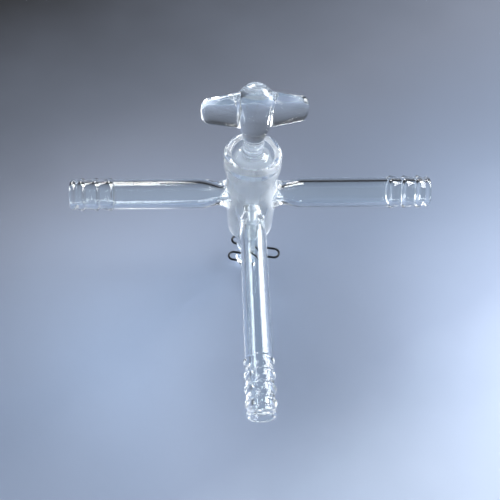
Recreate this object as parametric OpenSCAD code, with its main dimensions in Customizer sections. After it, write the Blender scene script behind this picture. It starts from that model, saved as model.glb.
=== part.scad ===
// Three-way glass stopcock: a fused glass body with three hose arms,
// a ground glass key with a T-shaped passage, and a wire clip that keeps the key in.
// The origin is where the axes of the arms and of the key cross.
// The side arms run along X, the third arm points to -Y and the key stands along Z.

/* [Arms] */
// Reach of each side arm, from the key's axis to its open end
side_reach = 65.7; // [45:0.1:110]
// Reach of the third arm, from the key's axis to its open end
front_reach = 90; // [45:0.5:130]
// Outside diameter of the side arms' tube
side_tube_od = 10.8; // [8.4:0.1:13]
// Outside diameter of the third arm's tube
front_tube_od = 9.4; // [7.8:0.1:13]
// Wall of the arm tubes
tube_wall = 1.5; // [1:0.1:1.8]
// Outside diameter of an arm where it meets the barrel
root_od = 8.6; // [7:0.1:9.4]
// Length over which an arm is drawn down
root_len = 11; // [6:0.5:14]
// Diameter of the passage through the barrel's wall and the key
passage_d = 4; // [2:0.1:5]
// Width of the fused glass that flares out around an arm's root
fuse_flare = 1.6; // [0.5:0.1:2.5]

/* [Hose barbs] */
// Number of barbs at the open end of each side arm
side_barb_count = 3; // [1:1:5]
// Number of barbs at the open end of the third arm
front_barb_count = 4; // [1:1:5]
// Distance from one barb to the next
barb_pitch = 5; // [3.5:0.1:6]
// Height of a barb's crest above the tube's surface
barb_rise = 0.55; // [0.3:0.05:1.2]
// Depth of the foot of a barb's ramp below the tube's surface
barb_dip = 0.25; // [0.1:0.05:0.5]
// Length of the flat land on each crest
barb_land = 0.8; // [0.4:0.1:1.5]
// Distance from the open end to the first crest
first_barb = 4.4; // [3.2:0.1:6]
// Height of the melted lip above the tube's surface at the open end
lip_rise = 0.2; // [0:0.05:0.5]

/* [Barrel] */
// Wall of the barrel level with the arms
barrel_wall = 2.86; // [2.2:0.02:4]
// Wall of the barrel at its lower end
foot_wall = 3.06; // [2.4:0.02:3.6]
// Distance from the arms' axis down to the barrel's lower end
barrel_below = 20.5; // [14:0.5:25]
// Distance from the arms' axis up to the top of the rim
barrel_above = 22.5; // [18:0.5:28]
// Thickness of the rim around the mouth
rim_wall = 2.9; // [2:0.1:4]
// Depth of the thick rim below its top
rim_depth = 5; // [3:0.5:7]
// Rounding of the barrel's lower outside edge
foot_round = 2.4; // [0.5:0.1:2.5]

/* [Key] */
// Diameter of the ground key level with the arms
key_d = 12.6; // [10.5:0.1:16]
// Change of the ground diameter for each millimetre of length
taper = 0.1; // [0.05:0.01:0.12]
// Clearance between key and barrel, measured on the radius
grind_gap = 0.04; // [0.02:0.01:0.08]
// Distance from the rim's top down to the top of the ground face
shoulder_drop = 5.5; // [4:0.5:8]
// Length of the ground key that comes out below the barrel
key_out = 10.5; // [2:0.5:14]
// Angle by which the key stands out of line with the side arms
key_turn = 2.3; // [0:0.1:10]

/* [Handle] */
// Diameter of the neck between key and handle
neck_d = 7; // [5:0.1:8.4]
// Height of the handle's axis above the rim's top
handle_rise = 21.4; // [18:0.1:30]
// Length of the handle from tip to tip
handle_span = 35.8; // [24:0.2:50]
// Height of a wing at its tip
wing_tip_h = 8.8; // [6.6:0.1:14]
// Height of a wing where it leaves the bulb
wing_root_h = 17.2; // [12:0.1:20]
// Thickness of a wing at its tip
wing_tip_w = 7; // [4:0.1:7.2]
// Depth of the crease between the bulb's side and a wing's side
wing_crease = 3.2; // [0.5:0.1:3.6]
// Diameter of the bulb in the middle of the handle
bulb_d = 11.6; // [9:0.1:14]
// Height of the bulb's round top above the handle's axis
bulb_rise = 10.6; // [8.5:0.1:16]
// Distance from the handle's axis down to the neck, where the bulb begins
bulb_drop = 15.4; // [12:0.1:16.4]
// Distance from the handle's axis down to where the bulb is full size
bulb_full = 3.9; // [0:0.1:8]
// Height of the ripple rings on the neck
ripple = 0.3; // [0:0.05:0.6]
// Number of ripple rings on the neck
ring_count = 3; // [1:1:4]

/* [Tail] */
// Diameter of the waist that the clip grips
waist_d = 3.2; // [2.6:0.1:5]
// Length of the waist
waist_len = 3.2; // [2:0.1:5]
// Diameter of the bead below the waist
bead_d = 9.6; // [7:0.1:12]
// Height of the bead
bead_h = 3.6; // [3:0.1:5]

/* [Clip] */
// Thickness of the clip's wire
wire_d = 0.9; // [0.5:0.05:1.2]
// Reach of the clip's closed end from the key's axis
clip_reach = 12.6; // [8:0.1:14]
// Distance from the key's axis to the middle of the finger eyes
eye_reach = 5.3; // [5:0.1:11]
// Outside diameter of the finger eyes
eye_od = 4.6; // [3:0.1:6]
// Length of wire that runs back from each eye
eye_tail = 1.8; // [0.5:0.1:3]
// Clearance between the clip's wire and the waist
clip_gap = 0.05; // [0.02:0.01:0.1]
// Angle between the clip and the handle
clip_turn = -13; // [-90:1:90]

/* [Hidden] */
$fn = 64;
glass = [0.80, 0.88, 0.92, 0.6];
ground_glass = [0.86, 0.90, 0.92, 0.9];
steel = [0.20, 0.21, 0.23];
curve_steps = 8;

past = 1;
edge_break = 0.5;
mouth_relief = 0.25;
rim_blend = 8;
barrel_r = ground_r(0) + grind_gap + barrel_wall;
rim_base = barrel_above - rim_depth;
shoulder_z = barrel_above - shoulder_drop;
mouth_r = ground_r(shoulder_z) + grind_gap + mouth_relief;
rim_round = rim_wall / 2;

passage_r = passage_d / 2;
root_r = root_od / 2;
root_start = barrel_r + fuse_flare;
barb_back = 0.7;
lip_len = 2.4;
lip_half = (tube_wall + lip_rise) / 2;

shoulder_dome = 4.6;
shoulder_fillet = 1.4;
neck_foot = shoulder_z + shoulder_dome + shoulder_fillet;
handle_z = barrel_above + handle_rise;
neck_top = handle_z - bulb_drop;
ring_pitch = (neck_top - neck_foot) / ring_count;
ring_steps = 6;

tail_round = 1.6;
tail_cone = 3;
bead_cone = 1.2;
key_bottom = -barrel_below - key_out;
waist_top = key_bottom - tail_cone;
waist_mid = waist_top - waist_len / 2;
bead_top = waist_top - waist_len - bead_cone;
leg_y = (waist_d + wire_d) / 2 + clip_gap;
bend_r = (eye_od - wire_d) / 2;

// Radius of the key's ground face at a height z
function ground_r(z) = (key_d + taper * z) / 2;

// Points of a smooth S-shaped step from [r0, z0] to [r1, z1]
function s_curve(r0, z0, r1, z1) = [for (i = [0:curve_steps])
    [r0 + (r1 - r0) * (1 - cos(180 * i / curve_steps)) / 2, z0 + (z1 - z0) * i / curve_steps]];

// Points of an arc around [r, z], from angle a0 to angle a1, with half-widths w and h
function arc(r, z, w, h, a0, a1) = [for (i = [0:curve_steps])
    let (a = a0 + (a1 - a0) * i / curve_steps) [r + w * cos(a), z + h * sin(a)]];

// Points of one barb's steep back and its land, with its crest at a height z
function barb(z, behind_r, barb_r) = [
    [behind_r, z - barb_land / 2 - barb_back],
    [barb_r, z - barb_land / 2],
    [barb_r, z + barb_land / 2]];

// Points of a row of barbs that ramp up away from an open end at a height z
function barbs(z, tube_r, count) = [for (i = [count - 1:-1:0])
    each barb(z - first_barb - i * barb_pitch,
        i == count - 1 ? tube_r : tube_r - barb_dip, tube_r + barb_rise)];

// Outside of an arm: fused root, drawn-down neck, tube, barbs and melted lip
module arm_outside(reach, tube_r, barb_count) {
    root_straight = 1;
    rotate_extrude() polygon(concat(
        [[0, 0], [root_r + fuse_flare, 0]],
        arc(root_r + fuse_flare, root_start, fuse_flare, fuse_flare, 270, 180),
        s_curve(root_r, root_start + root_straight, tube_r, barrel_r + root_len),
        barbs(reach, tube_r, barb_count),
        [[tube_r - barb_dip, reach - lip_len]],
        arc(tube_r + lip_rise - lip_half, reach - lip_half, lip_half, lip_half, -30, 90),
        [[0, reach]]));
}

// Bore of an arm: the narrow passage widens to the tube's bore and ends in a rounded mouth
module arm_bore(reach, tube_r) {
    lip_mid_r = tube_r + lip_rise - lip_half;
    rotate_extrude() polygon(concat(
        [[0, 0], [passage_r, 0]],
        s_curve(passage_r, barrel_r + 0.5, tube_r - tube_wall, barrel_r + root_len + 1),
        arc(lip_mid_r, reach - lip_half, lip_half, lip_half, 180, 90),
        [[lip_mid_r, reach + past], [0, reach + past]]));
}

// Places a shape drawn along +Z on the three arms: left, right and front
module on_arms() {
    rotate([0, -90, 0]) children(0);
    rotate([0, 90, 0]) children(0);
    rotate([90, 0, 0]) children(1);
}

// Outside of the barrel: rounded foot, slight cone, and the thick rim around the mouth
module barrel_outside() {
    foot_r = ground_r(-barrel_below + edge_break) + grind_gap + foot_wall;
    rim_r = mouth_r + rim_wall;
    rotate_extrude() polygon(concat(
        [[0, -barrel_below]],
        arc(foot_r - foot_round, -barrel_below + foot_round, foot_round, foot_round, 270, 360),
        [[barrel_r, 0]],
        s_curve(barrel_r, rim_base - rim_blend, rim_r, rim_base),
        arc(rim_r - rim_round, barrel_above - rim_round, rim_round, rim_round, 0, 90),
        [[0, barrel_above]]));
}

// Ground bore of the barrel, with a rounded mouth and a softened lower edge
module barrel_bore() {
    low_z = -barrel_below + edge_break;
    low_r = ground_r(low_z) + grind_gap;
    top_r = ground_r(shoulder_z) + grind_gap;
    relief_len = 1;
    rotate_extrude() polygon(concat(
        [[0, -barrel_below - past], [low_r + edge_break, -barrel_below - past],
         [low_r + edge_break, -barrel_below], [low_r, low_z],
         [top_r, shoulder_z], [mouth_r, shoulder_z + relief_len]],
        arc(mouth_r + rim_round, barrel_above - rim_round, rim_round, rim_round, 180, 90),
        [[mouth_r + rim_round, barrel_above + past], [0, barrel_above + past]]));
}

// Barrel and arms, fused into one piece of glass
module glass_body() {
    color(glass) difference() {
        union() {
            barrel_outside();
            on_arms() {
                arm_outside(side_reach, side_tube_od / 2, side_barb_count);
                arm_outside(front_reach, front_tube_od / 2, front_barb_count);
            }
        }
        barrel_bore();
        on_arms() {
            arm_bore(side_reach, side_tube_od / 2);
            arm_bore(front_reach, front_tube_od / 2);
        }
    }
}

// Turned outline of the key: bead, waist, ground cone, shoulder dome and rippled neck
module key_turned() {
    neck_r = neck_d / 2;
    waist_r = waist_d / 2;
    bead_r = bead_d / 2;
    bead_bottom = bead_top - bead_h;
    bead_half = bead_h / 2;
    shoulder_r = ground_r(shoulder_z);
    dome_r = neck_r + 0.9;
    rotate_extrude() polygon(concat(
        [[0, bead_bottom]],
        arc(bead_r - bead_half, bead_bottom + bead_half, bead_half, bead_half, 270, 450),
        [[waist_r, bead_top + bead_cone], [waist_r, waist_top]],
        arc(ground_r(key_bottom) - tail_round, key_bottom, tail_round, tail_round, -60, 0),
        [[shoulder_r, shoulder_z]],
        arc(dome_r, shoulder_z, shoulder_r - dome_r, shoulder_dome, 20, 80),
        [[neck_r, neck_foot]],
        [for (i = [1:ring_count * ring_steps])
            [neck_r + ripple * (1 - cos(360 * i / ring_steps)) / 2, neck_foot + ring_pitch * i / ring_steps]],
        [[0, neck_top]]));
}

// Bulb of the handle: it swells from the neck, runs straight past the wings and ends in a round top
module handle_bulb() {
    bulb_r = bulb_d / 2;
    neck_r = neck_d / 2;
    sunk = 0.5;
    rotate_extrude() polygon(concat(
        [[0, neck_top - sunk], [neck_r, neck_top - sunk]],
        s_curve(neck_r, neck_top, bulb_r, handle_z - bulb_full),
        arc(0, handle_z + bulb_rise - bulb_r, bulb_r, bulb_r, 0, 90)));
}

// One wing of the handle: round above and below, flat at its sides, thinning to its tip
module handle_wing() {
    tip = handle_span / 2;
    tip_round = wing_tip_w * 0.45;
    root_half = bulb_d / 2 - wing_crease;
    translate([0, 0, handle_z]) intersection() {
        rotate([0, 90, 0]) rotate_extrude() polygon(concat(
            [[0, 0], [wing_root_h / 2, 0]],
            arc(wing_tip_h / 2 - tip_round, tip - tip_round, tip_round, tip_round, 15, 90),
            [[0, tip]]));
        linear_extrude(wing_root_h, center = true) polygon(concat(
            [[0, -root_half]],
            arc(tip - tip_round, tip_round - wing_tip_w / 2, tip_round, tip_round, -75, 0),
            arc(tip - tip_round, wing_tip_w / 2 - tip_round, tip_round, tip_round, 0, 75),
            [[0, root_half]]));
    }
}

// Solid glass key with its handle and the T-shaped passage
module key() {
    color(ground_glass) rotate([0, 0, key_turn]) difference() {
        union() {
            key_turned();
            handle_bulb();
            handle_wing();
            mirror([1, 0, 0]) handle_wing();
        }
        rotate([0, 90, 0]) cylinder(d = passage_d, h = 2 * key_d, center = true);
        rotate([90, 0, 0]) cylinder(d = passage_d, h = key_d);
    }
}

// Straight piece of wire from x0 to x1 at a distance y from the clip's middle
module wire(x0, x1, y) {
    translate([x0, y, 0]) rotate([0, 90, 0]) cylinder(d = wire_d, h = x1 - x0);
}

// Half-turn of wire around [x, y]; its open side faces +X
module half_turn(x, y, r) {
    translate([x, y, 0]) rotate([0, 0, 90]) rotate_extrude(angle = 180) translate([r, 0]) circle(d = wire_d);
}

// Spring wire clip: two legs past the waist, a closed end, and two finger eyes
module wire_clip() {
    closed_x = clip_reach - wire_d / 2 - leg_y;
    eye_x = -eye_reach;
    color(steel) rotate([0, 0, key_turn + clip_turn]) translate([0, 0, waist_mid]) {
        mirror([1, 0, 0]) half_turn(-closed_x, 0, leg_y);
        for (side = [-1, 1]) {
            wire(eye_x, closed_x, side * leg_y);
            half_turn(eye_x, side * (leg_y + bend_r), bend_r);
            wire(eye_x, eye_x + eye_tail, side * (leg_y + 2 * bend_r));
        }
    }
}

glass_body();
key();
wire_clip();
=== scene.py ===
import math

import bpy
from mathutils import Matrix, Vector


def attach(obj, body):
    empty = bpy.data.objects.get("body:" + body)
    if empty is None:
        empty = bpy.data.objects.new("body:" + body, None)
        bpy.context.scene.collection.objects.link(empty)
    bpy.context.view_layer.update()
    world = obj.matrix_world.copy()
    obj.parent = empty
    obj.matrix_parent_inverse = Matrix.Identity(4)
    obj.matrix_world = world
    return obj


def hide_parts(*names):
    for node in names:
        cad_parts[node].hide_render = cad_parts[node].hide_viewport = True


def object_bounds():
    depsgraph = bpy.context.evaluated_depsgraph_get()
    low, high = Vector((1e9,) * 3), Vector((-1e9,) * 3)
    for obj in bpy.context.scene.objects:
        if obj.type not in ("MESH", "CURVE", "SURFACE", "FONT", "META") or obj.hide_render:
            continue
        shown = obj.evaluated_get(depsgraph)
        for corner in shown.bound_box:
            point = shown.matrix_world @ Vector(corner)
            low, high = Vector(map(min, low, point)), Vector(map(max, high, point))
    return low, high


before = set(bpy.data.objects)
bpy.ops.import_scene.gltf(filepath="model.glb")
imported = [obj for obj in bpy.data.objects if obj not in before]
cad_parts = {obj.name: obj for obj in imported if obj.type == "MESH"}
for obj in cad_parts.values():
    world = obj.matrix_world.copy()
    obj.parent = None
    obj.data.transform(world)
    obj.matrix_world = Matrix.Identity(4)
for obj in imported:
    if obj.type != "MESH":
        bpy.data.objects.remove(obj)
cad_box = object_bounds()

# ---------------------------------------------------------------- camera
# A still camera looks down on the stopcock from the side of its third arm,
# a little turned and tipped, as a hand would hold it.
MM = 0.001
camera_height_angle = math.radians(54.44)
camera_turn = math.radians(-4.43)
camera_tip = math.radians(2.92)
camera_offset = Vector((-0.44, -20.88, 366.5)) * MM

bpy.ops.object.select_all(action="DESELECT")
bpy.ops.object.camera_add()
camera = bpy.context.object
camera.name = "camera"
camera.data.lens = 72
camera.data.clip_start = 10 * MM
aim = (Matrix.Rotation(camera_turn, 4, "Z")
       @ Matrix.Rotation(math.radians(90) - camera_height_angle, 4, "X")
       @ Matrix.Rotation(camera_tip, 4, "Z"))
camera.matrix_world = Matrix.Translation(aim @ camera_offset) @ aim
scene = bpy.context.scene
scene.camera = camera

# ---------------------------------------------------------------- floor
# The bench under the stopcock: one wide sheet just below the key's tail, with a satin grey-blue
# coat that was rolled on. Painted light makes it paler towards one side, and four wide, soft spots
# of painted light and painted shade each have a centre, a radius and a factor that pales or darkens.
floor_size = 6000
floor_gap = 0.1
painted_light_length = 420
painted_light_turn = math.radians(60)
mottle_size = 71.43
mottle_drift = 0.05
coat_grain = 1.111
coat_relief = 0.2
painted_light_spots = (((-20, 171), 310, 0.68), ((-41, -9), 115, 1.6),
           ((13, -35), 85, 0.66), ((122, -26), 130, 1.5))


def linear(hex_colour):
    """Turns an sRGB hex colour into the linear values that shaders work in."""
    channels = [int(hex_colour[i:i + 2], 16) / 255 for i in (1, 3, 5)]
    return (*(c / 12.92 if c <= 0.04045 else ((c + 0.055) / 1.055) ** 2.4 for c in channels), 1.0)


def add_node(tree, kind, links=(), **settings):
    """Adds a shader node, sets its sockets or properties, and links other nodes to its inputs."""
    node = tree.nodes.new("ShaderNode" + kind)
    for key, value in settings.items():
        if hasattr(node, key):
            setattr(node, key, value)
        else:
            node.inputs[key.replace("_", " ")].default_value = value
    for source, output, socket in links:
        tree.links.new(source.outputs[output], node.inputs[socket])
    return node


def new_material(name):
    """Makes an empty node material and returns it with its node tree and its output node."""
    material = bpy.data.materials.new(name)
    material.use_nodes = True
    material.node_tree.nodes.clear()
    return material, material.node_tree, add_node(material.node_tree, "OutputMaterial")


bpy.ops.object.select_all(action="DESELECT")
floor_z = cad_box[0][2] - floor_gap * MM
bpy.ops.mesh.primitive_plane_add(size=floor_size * MM, location=(0, 0, floor_z))
floor = bpy.context.object
floor.name = "floor"

# Satin bench paint, rolled on: the eye sees a broad, dull gloss and no clear reflection. The paling
# and the spots are painted light and painted shade; the mottling, about 70 mm across, makes the
# painted paling uneven. Its grain of about 1 mm only softens the highlights.
satin, tree, output = new_material("satin_bench_coat_painted_light")
place = add_node(tree, "TexCoord")
mottle = add_node(tree, "TexNoise", [(place, "Object", "Vector")],
                  Scale=1 / (mottle_size * MM), Detail=3.0)
drift = add_node(tree, "VectorMath", [(mottle, "Color", 0)],
                 operation="SCALE", Scale=mottle_drift)
shifted = add_node(tree, "VectorMath", [(place, "Object", 0), (drift, "Vector", 1)],
                   operation="ADD")
across = add_node(tree, "Mapping", [(shifted, "Vector", "Vector")], Location=(0.5, 0, 0),
                  Rotation=(0, 0, painted_light_turn), Scale=(1 / (painted_light_length * MM),) * 3)
painted_light_gradient = add_node(tree, "TexGradient", [(across, "Vector", "Vector")])
# The ramp paints light across the bench, from painted shade at one end to pale at the other.
tint = add_node(tree, "ValToRGB", [(painted_light_gradient, "Fac", "Fac")])
tint.color_ramp.elements[0].color = linear("#2A2B2E")
tint.color_ramp.elements[1].color = linear("#DCE7F5")
for position, hex_colour in ((0.31, "#737A89"), (0.5, "#7C889D"), (0.63, "#8B97AD"),
                             (0.83, "#BECBE0")):
    tint.color_ramp.elements.new(position).color = linear(hex_colour)
painted_floor_light = tint
# Each spot paints a soft pool of light or of shade onto the bench's colour, by its factor.
for centre, radius, gain in painted_light_spots:
    near = add_node(tree, "Mapping", [(place, "Object", "Vector")], vector_type="TEXTURE",
                    Location=Vector((*centre, 0)) * MM, Scale=(radius * MM,) * 3)
    glow = add_node(tree, "TexGradient", [(near, "Vector", "Vector")], gradient_type="SPHERICAL")
    soft = add_node(tree, "MapRange", [(glow, "Fac", "Value")], interpolation_type="SMOOTHERSTEP")
    painted_floor_light = add_node(tree, "MixRGB", [(soft, "Result", "Fac"), (painted_floor_light, "Color", "Color1")],
                     blend_type="MULTIPLY", Color2=(gain, gain, gain, 1))
grain = add_node(tree, "TexNoise", [(place, "Object", "Vector")],
                 Scale=1 / (coat_grain * MM), Detail=2.0)
relief = add_node(tree, "Bump", [(grain, "Fac", "Height")],
                  Strength=0.05, Distance=coat_relief * MM)
coat = add_node(tree, "BsdfPrincipled",
                [(painted_floor_light, "Color", "Base Color"), (relief, "Normal", "Normal")],
                Roughness=0.7, Specular_IOR_Level=0.05)
tree.links.new(coat.outputs["BSDF"], output.inputs["Surface"])
floor.data.materials.append(satin)

# ---------------------------------------------------------------- light
# The room is brighter in front, where the third arm points, than behind. Two softboxes draw the
# streaks in the glass: one behind the left arm, and a larger one like a window past the right arm.
room_turn = math.radians(80)
room_level = 0.5

world = bpy.data.worlds.new("room")
world.use_nodes = True
scene.world = world
room = world.node_tree
outlook = add_node(room, "TexCoord")
aside = add_node(room, "Mapping", [(outlook, "Generated", "Vector")], Location=(0.5, 0, 0),
                 Rotation=(0, 0, room_turn), Scale=(0.5, 0.5, 0.5))
spread = add_node(room, "TexGradient", [(aside, "Vector", "Vector")])
walls = add_node(room, "ValToRGB", [(spread, "Fac", "Fac")])
walls.color_ramp.elements[0].color = linear("#36373B")
walls.color_ramp.elements[1].color = linear("#EAF1F8")
for position, hex_colour in ((0.25, "#55575E"), (0.5, "#C6CFDA")):
    walls.color_ramp.elements.new(position).color = linear(hex_colour)
room.links.new(walls.outputs["Color"], room.nodes["Background"].inputs["Color"])
room.nodes["Background"].inputs["Strength"].default_value = room_level


def softbox(name, place, width, height, watts):
    """Hangs a rectangular area light at a place and points it at the middle of the stopcock."""
    place = Vector(place) * MM
    bpy.ops.object.select_all(action="DESELECT")
    bpy.ops.object.light_add(type="AREA", location=place)
    lamp = bpy.context.object
    lamp.name = name
    lamp.data.shape = "RECTANGLE"
    lamp.data.size = width * MM
    lamp.data.size_y = height * MM
    lamp.data.energy = watts
    lamp.rotation_euler = (-place).to_track_quat("-Z", "Y").to_euler()


softbox("back_light", (-250, 870, 520), width=440, height=420, watts=8)
softbox("window_light", (800, 350, 500), width=700, height=640, watts=18)

# ---------------------------------------------------------------- glass body
# Borosilicate glass: a thick-walled barrel with three drawn-down arms fused to it at the lamp.
# The arms end in barbs and a melted lip. Inside, the barrel is ground to take the key.
side_reach = 65.7
front_reach = 90.0
barrel_r = 9.2
foot_r = 8.4
rim_r = 10.35
barrel_low = -20.5
barrel_high = 22.5
rim_low = 17.5
shoulder = 17.0
cone_width = 12.6
cone_taper = 0.1
grind_gap = 0.04
ground_skin = 0.06
side_tube_r = 5.4
front_tube_r = 4.7
tube_wall = 1.5
passage_r = 2.0
bore_widens_from = 10.0
bore_widens_to = 19.6
weld_rings = [(4.95, 9.9), (4.5, 10.9)]
root_r = 4.3
root_from = 11.8
root_to = 18.2
straight_from = 24.0
barb_rise = 0.55
barb_dip = 0.25
barb_pitch = 5.0
first_barb = 4.4
hole_half_angle = math.radians(37.5)
hole_r = 5.6
hole_rows = [-5.6, -4.2, -2.8, -1.4, 0, 1.4, 2.8, 4.2, 5.6]
foot_taper = [(8.5, -17), (8.65, -14), (8.82, -11), (8.95, -8.8), (9.08, -7.1)]
foot_round = 2.4
rim_round = 1.5
blank_r = 7.6


def ground_r(z):
    """Radius of the key's ground cone at a height: it narrows downwards by a tenth of its length."""
    return (cone_width + cone_taper * z) / 2


def s_curve(r0, t0, r1, t1, steps):
    """Points of a smooth step from one (radius, distance) to another."""
    return [(r0 + (r1 - r0) * (1 - math.cos(math.pi * i / steps)) / 2, t0 + (t1 - t0) * i / steps)
            for i in range(steps + 1)]


def arc(r, t, half_r, half_t, start, end, steps):
    """Points of an oval arc round (radius, distance), between two angles in degrees."""
    angles = [math.radians(start + (end - start) * i / steps) for i in range(steps + 1)]
    return [(r + half_r * math.cos(a), t + half_t * math.sin(a)) for a in angles]


def turned(name, outline, steps, axis=(0, 0, 1), side=(1, 0, 0)):
    """Draws an outline of (radius, distance) points as a wire and spins it round an axis."""
    axis, side = Vector(axis), Vector(side)
    points = [(side * r + axis * t) * MM for r, t in outline]
    bpy.ops.object.select_all(action="DESELECT")
    bpy.ops.mesh.primitive_plane_add(size=MM)
    piece = bpy.context.object
    piece.name = name
    bpy.ops.object.mode_set(mode="EDIT")
    bpy.ops.mesh.select_mode(type="VERT")
    bpy.ops.mesh.select_all(action="SELECT")
    bpy.ops.mesh.merge(type="CENTER")
    bpy.ops.transform.translate(value=points[0])
    for before, after in zip(points, points[1:]):
        bpy.ops.mesh.extrude_vertices_move(TRANSFORM_OT_translate={"value": after - before})
    bpy.ops.mesh.select_all(action="SELECT")
    bpy.ops.mesh.spin(steps=steps, angle=math.tau, center=(0, 0, 0), axis=axis)
    bpy.ops.mesh.select_all(action="SELECT")
    bpy.ops.mesh.remove_doubles(threshold=0.002 * MM)
    bpy.ops.mesh.normals_make_consistent(inside=False)
    bpy.ops.object.mode_set(mode="OBJECT")
    return piece


def select_where(piece, kind, test):
    """In edit mode, selects only the vertices, edges or faces whose place passes a test."""
    bpy.ops.mesh.select_mode(type=kind)
    bpy.ops.mesh.select_all(action="DESELECT")
    bpy.ops.object.mode_set(mode="OBJECT")
    mesh = piece.data
    if kind == "FACE":
        for face in mesh.polygons:
            face.select = test(face.center / MM)
    else:
        for vertex in mesh.vertices:
            vertex.select = test(vertex.co / MM)
    bpy.ops.object.mode_set(mode="EDIT")


def combine(piece, tool, operation):
    """Joins a tool to a piece, or cuts it away, and removes the tool."""
    cut = piece.modifiers.new("cut", "BOOLEAN")
    cut.operation = operation
    cut.solver = "EXACT"
    cut.object = tool
    bpy.ops.object.select_all(action="DESELECT")
    piece.select_set(True)
    bpy.context.view_layer.objects.active = piece
    bpy.ops.object.modifier_apply(modifier="cut")
    bpy.data.objects.remove(tool)


def smooth(piece, angle):
    """Shades a piece smooth, apart from edges sharper than an angle in degrees."""
    bpy.ops.object.select_all(action="DESELECT")
    piece.select_set(True)
    bpy.context.view_layer.objects.active = piece
    bpy.ops.object.shade_smooth_by_angle(angle=math.radians(angle))


barrel_outline = (
    [(foot_r - 3.2, barrel_low)]
    + arc(foot_r - foot_round, barrel_low + foot_round, foot_round, foot_round, 275, 355, 4)
    + foot_taper
    + [(barrel_r, z) for z in hole_rows]
    + [(barrel_r, 7.1)]
    + s_curve(barrel_r, 8.8, rim_r, rim_low, 5)
    + [(rim_r, 19.6)]
    + arc(rim_r - rim_round, barrel_high - rim_round, rim_round, rim_round, 15, 90, 4)
    + [(blank_r, barrel_high)])
glass = turned("glass_body_shell", barrel_outline, steps=48)


def arm_outline(reach, tube_r, barb_count):
    """Outline of an arm's outer skin, from its fused root over its barbs to its melted lip.

    Each barb rises steeply on the barrel's side and slopes down to the open end."""
    dip_r, crest_r = tube_r - barb_dip, tube_r + barb_rise + 0.05
    barbs_from = reach - first_barb - (barb_count - 1) * barb_pitch - 2.5
    barbs = []
    for i in reversed(range(barb_count)):
        crest = reach - first_barb - i * barb_pitch
        behind = tube_r if i == barb_count - 1 else dip_r
        barbs += [(behind, crest - 1.3), (behind, crest - 1.0), (crest_r, crest - 0.5),
                  (crest_r, crest + 0.3), (crest_r - 0.3, crest + 1.0)]
    lip = [(dip_r, reach - 2.4), (dip_r, reach - 2.0), (tube_r + 0.2, reach - 1.5),
           (tube_r + 0.25, reach - 0.8), (tube_r + 0.05, reach - 0.2), (tube_r - 0.5, reach),
           (tube_r - 1.2, reach)]
    tube = [(tube_r, t) for t in (straight_from, (straight_from + barbs_from) / 2, barbs_from)]
    return weld_rings + s_curve(root_r, root_from, tube_r, root_to, 5) + tube + barbs + lip


def pull_arm(piece, direction, reach, tube_r, barb_count):
    """Opens the barrel's side where an arm meets it, rounds the hole and draws the arm out.

    The hole's edge follows the barrel's round side, so it is pressed flat as it is drawn out."""
    direction = Vector(direction)
    sideways = direction.cross(Vector((0, 0, 1)))
    lengthwise = Vector([abs(v) for v in direction])
    around = Vector((1, 1, 1)) - lengthwise

    def in_hole(place):
        """Says whether a place on the barrel's side lies within the hole."""
        angle = math.atan2(place.dot(sideways), place.dot(direction))
        return hole_rows[0] < place.z < hole_rows[-1] and abs(angle) < hole_half_angle

    bpy.ops.object.mode_set(mode="EDIT")
    select_where(piece, "FACE", in_hole)
    bpy.ops.mesh.delete(type="FACE")
    bpy.ops.mesh.select_mode(type="EDGE")
    bpy.ops.mesh.select_non_manifold()
    bpy.ops.object.mode_set(mode="OBJECT")
    for vertex in (v for v in piece.data.vertices if v.select):
        turn = math.atan2(vertex.co.z, vertex.co.dot(sideways))
        across = hole_r * math.cos(turn) * MM
        up = hole_r * math.sin(turn) * MM
        out = math.sqrt(vertex.co.x ** 2 + vertex.co.y ** 2 - across ** 2)
        vertex.co = direction * out + sideways * across + Vector((0, 0, up))
    bpy.ops.object.mode_set(mode="EDIT")
    last_r, last_t = hole_r, barrel_r
    for r, t in arm_outline(reach, tube_r, barb_count):
        outwards = direction * (t - last_t) * MM
        bpy.ops.mesh.extrude_region_move(TRANSFORM_OT_translate={"value": outwards})
        is_flat = last_t > barrel_r
        bpy.ops.transform.resize(value=around * (r / last_r) + lengthwise * is_flat,
                                 center_override=direction * t * MM)
        last_r, last_t = r, t
    bpy.ops.mesh.edge_face_add()
    bpy.ops.object.mode_set(mode="OBJECT")


# The shell starts as a solid blank: both ends are closed, and the bores are cut at the end.
bpy.ops.object.mode_set(mode="EDIT")
for end in (barrel_low, barrel_high):
    select_where(glass, "VERT", lambda place: abs(place.z - end) < 0.01
                 and math.hypot(place.x, place.y) < blank_r + 0.1)
    bpy.ops.mesh.edge_face_add()
bpy.ops.object.mode_set(mode="OBJECT")
arms = (((1, 0, 0), side_reach, side_tube_r, 3), ((-1, 0, 0), side_reach, side_tube_r, 3),
        ((0, -1, 0), front_reach, front_tube_r, 4))
for direction, reach, tube_r, barb_count in arms:
    pull_arm(glass, direction, reach, tube_r, barb_count)
bpy.ops.object.mode_set(mode="EDIT")
bpy.ops.mesh.select_all(action="SELECT")
bpy.ops.mesh.normals_make_consistent(inside=False)
bpy.ops.object.mode_set(mode="OBJECT")
rounding = glass.modifiers.new("rounding", "SUBSURF")
rounding.levels = 2
rounding.render_levels = 2
bpy.ops.object.select_all(action="DESELECT")
glass.select_set(True)
bpy.context.view_layer.objects.active = glass
bpy.ops.object.modifier_apply(modifier="rounding")

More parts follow.
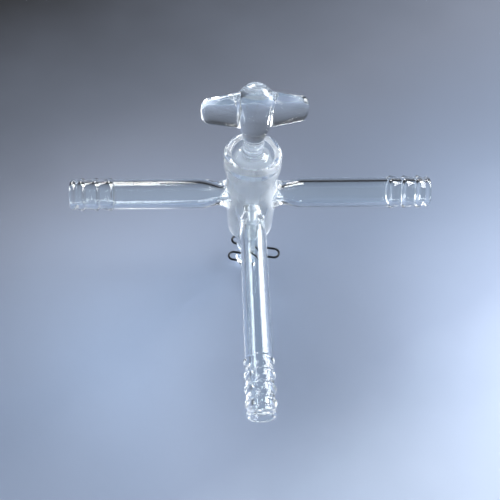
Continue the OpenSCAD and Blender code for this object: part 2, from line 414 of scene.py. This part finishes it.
# The key's bore ends in a rounded foot and a rounded mouth, and each arm's bore in a rounded lip.
mouth_r = ground_r(shoulder) + grind_gap + 0.25
mouth_round = 1.2
lip_round = 0.8
bore_outline = (
    [(0, barrel_low - 1), (ground_r(barrel_low) + 1.1, barrel_low - 1)]
    + arc(ground_r(barrel_low) + 1.0, barrel_low + 0.8, 0.95, 0.9, 270, 180, 5)
    + [(ground_r(z) + grind_gap, z) for z in (barrel_low + 1, shoulder)]
    + [(mouth_r, shoulder + 1)]
    + arc(mouth_r + mouth_round, barrel_high - mouth_round, mouth_round, 1.3, 180, 100, 6)
    + [(mouth_r + mouth_round, barrel_high + 1), (0, barrel_high + 1)])
combine(glass, turned("bore_tool", bore_outline, steps=96), "DIFFERENCE")
for direction, reach, tube_r, barb_count in arms:
    bore_r = tube_r - tube_wall
    arm_bore = (
        [(0, 3), (passage_r, 3), (passage_r, 9.7)]
        + s_curve(passage_r, bore_widens_from, bore_r, bore_widens_to, 12)
        + [(bore_r, reach - 16)]
        + arc(bore_r + lip_round, reach - 0.9, lip_round, 0.95, 180, 95, 6)
        + [(bore_r + 0.9, reach + 1), (0, reach + 1)])
    arm_tool = turned("arm_tool", arm_bore, steps=64, axis=direction, side=(0, 0, 1))
    combine(glass, arm_tool, "DIFFERENCE")
smooth(glass, angle=38)


def let_lamps_through(tree, output, shader, tint):
    """Shows a glass shader, but lets the lamps' light pass with a tint, so no shadow is black."""
    path = add_node(tree, "LightPath")
    through = add_node(tree, "BsdfTransparent", Color=linear(tint))
    shown = add_node(tree, "MixShader",
                     [(path, "Is Shadow Ray", 0), (shader, "BSDF", 1), (through, "BSDF", 2)])
    tree.links.new(shown.outputs["Shader"], output.inputs["Surface"])


# Clear borosilicate glass, fire-polished: the eye sees sharp streaks and bent outlines, with no
# tint of its own. The swells that the lamp leaves in it are about 6 mm long and very low.
borosilicate_ior = 1.473
swell_length = 6.25
swell_relief = 0.6
clear, tree, output = new_material("clear_borosilicate_glass")
place = add_node(tree, "TexCoord")
swells = add_node(tree, "TexNoise", [(place, "Object", "Vector")],
                  Scale=1 / (swell_length * MM), Detail=1.0)
waviness = add_node(tree, "Bump", [(swells, "Fac", "Height")],
                    Strength=0.10, Distance=swell_relief * MM)
melt = add_node(tree, "BsdfPrincipled", [(waviness, "Normal", "Normal")], Roughness=0.0,
                IOR=borosilicate_ior, Base_Color=linear("#F7FBFC"), Transmission_Weight=1.0)
let_lamps_through(tree, output, melt, "#F4F7F9")

# Ground borosilicate glass, lapped with grit: the eye sees a dull, milky white that hides what
# is behind it. Real grit marks of about 0.03 mm are too fine to show, so these are 0.38 mm wide.
grit_size = 0.3846
grit_relief = 0.1
frosted, tree, output = new_material("ground_borosilicate_glass")
place = add_node(tree, "TexCoord")
grit = add_node(tree, "TexNoise", [(place, "Object", "Vector")],
                Scale=1 / (grit_size * MM), Detail=2.0)
pits = add_node(tree, "Bump", [(grit, "Fac", "Height")], Strength=0.35, Distance=grit_relief * MM)
matt = add_node(tree, "BsdfPrincipled", [(pits, "Normal", "Normal")], Roughness=0.55,
                IOR=borosilicate_ior, Base_Color=linear("#CFD3DA"), Transmission_Weight=0.75)
let_lamps_through(tree, output, matt, "#D8DCE0")


def glaze(piece, is_ground):
    """Gives a piece clear glass all over and ground glass on the faces that pass a test."""
    piece.data.materials.clear()
    piece.data.materials.append(clear)
    piece.data.materials.append(frosted)
    for face in piece.data.polygons:
        face.material_index = 1 if is_ground(face.center / MM) else 0


glaze(glass, lambda place: barrel_low + 1 < place.z < shoulder
      and abs(math.hypot(place.x, place.y) - ground_r(place.z) - grind_gap) < ground_skin)
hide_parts("glass_body")
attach(glass, "body")

# ---------------------------------------------------------------- key
# Solid borosilicate glass, worked at the lamp: a ground cone with a T-shaped passage, a neck
# with three low rings, and a handle of two flat wings fused to a bulb. The key stands in the
# barrel, and its tail narrows to a waist for the clip above a bead.
key_turn = math.radians(2.3)
key_low = -31.0
ground_low = -23.0
neck_r = 3.5
neck_foot = 23.0
neck_top = 28.5
neck_rings = 3
neck_ring_rise = 0.3
handle_z = 43.9
bulb_r = 5.8
bulb_full = 40.0
bulb_top = 54.5
wing_reach = 17.9
wing_root = (9.2, 3.2)
wing_tip = (5.0, 3.5)
wing_round = 3.0
wing_flatness = 2.1
weld_foot = 6.6
weld_top = 4.3
weld_rise = 1.2
waist_r = 1.6
waist_top = -34.0
waist_low = -37.2
bead_r = 4.8
bead_round = 1.8
bead_top = waist_low - 1.2
tail_round = 1.2
cut_reach = 15.0

along = Vector((math.cos(key_turn), math.sin(key_turn), 0))
across = Vector((-math.sin(key_turn), math.cos(key_turn), 0))
ring_pitch = (neck_top - neck_foot) / neck_rings
ripples = [(neck_r + neck_ring_rise * (1 - math.cos(math.tau * i / 8)) / 2,
            neck_foot + ring_pitch * i / 8) for i in range(1, 8 * neck_rings)]
key_outline = (
    [(0, bead_top - 2 * bead_round)]
    + arc(bead_r - bead_round, bead_top - bead_round, bead_round, bead_round, 270, 420, 12)
    + s_curve(bead_r - bead_round, waist_low - 0.9, waist_r, waist_low + 0.6, 5)
    + [(waist_r, waist_top - 0.4)]
    + s_curve(waist_r, waist_top, ground_r(key_low) - 1.5, key_low - 1.6, 4)
    + arc(ground_r(key_low) - tail_round, key_low, tail_round, tail_round, -75, 0, 6)
    + [(ground_r(z), z) for z in (ground_low, -20, -10, 0, 10, shoulder)]
    + arc(neck_r + 0.9, shoulder, ground_r(shoulder) - neck_r - 0.9, 4.6, 15, 85, 8)
    + [(neck_r + 0.2, 22.2), (neck_r, neck_foot)]
    + ripples
    + s_curve(neck_r, neck_top, bulb_r, bulb_full, 14)
    + arc(0, bulb_top - bulb_r, bulb_r, bulb_r, 0, 90, 16))
key = turned("key_glass_stem", key_outline, steps=96)


def wing_rings():
    """Places and half sizes (x, thickness, height) of the rings that make the bar of both wings.

    The bar has round tips, widens towards the bulb, and swells into a weld where it meets it."""
    rings = []
    for i in range(9):
        turn = math.radians(88 - 11 * i)
        rings.append((wing_round * (1 - math.sin(turn)) - wing_reach,
                      wing_tip[1] * math.cos(turn),
                      wing_tip[0] - wing_round * (1 - math.cos(turn))))
    tip_x = wing_reach - wing_round
    for i in range(1, 36):
        share = i / 36
        x = tip_x * (1 - share)
        weld = weld_rise * min(max((weld_foot - x) / (weld_foot - weld_top), 0), 1) ** 2
        thick = wing_tip[1] + (wing_root[1] - wing_tip[1]) * (1 - math.cos(math.pi * share)) / 2
        rings.append((-x, thick + weld, wing_tip[0] + (wing_root[0] - wing_tip[0]) * share))
    inside_bulb = (0, wing_root[1] + weld_rise, wing_root[0] - 0.15)
    return rings + [inside_bulb] + [(-x, thick, high) for x, thick, high in reversed(rings)]


# The bar of both wings is drawn as one rod, from a ring that is a little squarer than a circle.
rings = wing_rings()
bpy.ops.object.select_all(action="DESELECT")
bpy.ops.mesh.primitive_circle_add(vertices=64, radius=MM)
wings = bpy.context.object
for vertex in wings.data.vertices:
    side, up = vertex.co.x / MM, vertex.co.y / MM
    vertex.co *= (abs(side) ** wing_flatness + abs(up) ** wing_flatness) ** (-1 / wing_flatness)
bpy.ops.object.mode_set(mode="EDIT")
bpy.ops.mesh.select_all(action="SELECT")
bpy.ops.transform.rotate(value=math.radians(90), orient_axis="Y", center_override=(0, 0, 0))
bpy.ops.transform.translate(value=(rings[0][0] * MM, 0, 0))
bpy.ops.transform.resize(value=(1, rings[0][1], rings[0][2]),
                         center_override=(rings[0][0] * MM, 0, 0))
bpy.ops.mesh.edge_face_add()
for before, after in zip(rings, rings[1:]):
    step = ((after[0] - before[0]) * MM, 0, 0)
    bpy.ops.mesh.extrude_region_move(TRANSFORM_OT_translate={"value": step})
    bpy.ops.transform.resize(value=(1, after[1] / before[1], after[2] / before[2]),
                             center_override=(after[0] * MM, 0, 0))
bpy.ops.mesh.select_all(action="SELECT")
bpy.ops.mesh.normals_make_consistent(inside=False)
bpy.ops.object.mode_set(mode="OBJECT")
wings.data.transform(Matrix.Translation((0, 0, handle_z * MM))
                     @ Matrix.Rotation(key_turn, 4, "Z"))
combine(key, wings, "UNION")
for start, axis in ((-cut_reach, along), (0, -across)):
    passage = [(0, start), (passage_r, start), (passage_r, cut_reach), (0, cut_reach)]
    passage_tool = turned("passage_tool", passage, steps=48, axis=axis, side=(0, 0, 1))
    combine(key, passage_tool, "DIFFERENCE")
smooth(key, angle=32)
glaze(key, lambda place: ground_low < place.z < shoulder
      and abs(math.hypot(place.x, place.y) - ground_r(place.z)) < ground_skin)
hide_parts("key")
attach(key, "key")

# ---------------------------------------------------------------- wire clip
# One piece of dark spring-steel wire, bent cold: a closed end, two legs that grip the key's
# waist and two open finger eyes. It keeps the key from rising out of the barrel.
wire_r = 0.45
leg_y = 2.1
eye_bend = 1.85
eye_x = -5.3
eye_tail = 1.8
clip_reach = 12.6
closed_x = clip_reach - wire_r - leg_y
clip_z = (waist_top + waist_low) / 2
clip_turn = key_turn - math.radians(13)

bpy.ops.object.select_all(action="DESELECT")
bpy.ops.mesh.primitive_circle_add(vertices=16, radius=wire_r * MM)
clip = bpy.context.object
clip.name = "clip_wire_bent"
bpy.ops.object.mode_set(mode="EDIT")
bpy.ops.mesh.select_all(action="SELECT")
bpy.ops.transform.rotate(value=math.radians(90), orient_axis="Y", center_override=(0, 0, 0))
bpy.ops.transform.translate(value=Vector((eye_x + eye_tail, leg_y + 2 * eye_bend, 0)) * MM)


def straight(length):
    """Draws the wire on along the clip."""
    bpy.ops.mesh.extrude_region_move(TRANSFORM_OT_translate={"value": (length * MM, 0, 0)})


def bend(x, y, turn):
    """Bends the wire on through a half-turn round a point, to the left (1) or to the right (-1)."""
    bpy.ops.mesh.spin(steps=18, angle=-turn * math.pi, center=(x * MM, y * MM, 0), axis=(0, 0, 1))


straight(-eye_tail)
bend(eye_x, leg_y + eye_bend, 1)
straight(closed_x - eye_x)
bend(closed_x, 0, -1)
straight(eye_x - closed_x)
bend(eye_x, -leg_y - eye_bend, 1)
straight(eye_tail)
bpy.ops.mesh.select_all(action="SELECT")
bpy.ops.mesh.remove_doubles(threshold=0.001 * MM)
bpy.ops.mesh.select_all(action="DESELECT")
bpy.ops.mesh.select_non_manifold()
bpy.ops.mesh.edge_face_add()
bpy.ops.mesh.select_all(action="SELECT")
bpy.ops.mesh.normals_make_consistent(inside=False)
bpy.ops.object.mode_set(mode="OBJECT")
clip.data.transform(Matrix.Translation((0, 0, clip_z * MM)) @ Matrix.Rotation(clip_turn, 4, "Z"))
smooth(clip, angle=40)

# Drawn spring steel with its dark oxide: the eye sees a dark line with a narrow bright streak.
# The oxide is thinner in spots of about 1 mm.
oxide_spot = 1.111
spring, tree, output = new_material("drawn_spring_steel")
place = add_node(tree, "TexCoord")
oxide = add_node(tree, "TexNoise", [(place, "Object", "Vector")],
                 Scale=1 / (oxide_spot * MM), Detail=3.0)
tint = add_node(tree, "ValToRGB", [(oxide, "Fac", "Fac")])
tint.color_ramp.elements[0].color = linear("#1E2023")
tint.color_ramp.elements[1].color = linear("#44474C")
wire = add_node(tree, "BsdfPrincipled", [(tint, "Color", "Base Color")],
                Metallic=1.0, Roughness=0.28)
tree.links.new(wire.outputs["BSDF"], output.inputs["Surface"])
clip.data.materials.clear()
clip.data.materials.append(spring)
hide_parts("wire_clip")
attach(clip, "key")

# Light that runs along inside the thick glass is reflected many times before it comes out,
# and it would end in black spots with fewer bounces.
glass_bounces = 40
scene.view_settings.view_transform = "Standard"
scene.cycles.max_bounces = glass_bounces
scene.cycles.transmission_bounces = glass_bounces
scene.cycles.glossy_bounces = glass_bounces
scene.cycles.transparent_max_bounces = 16
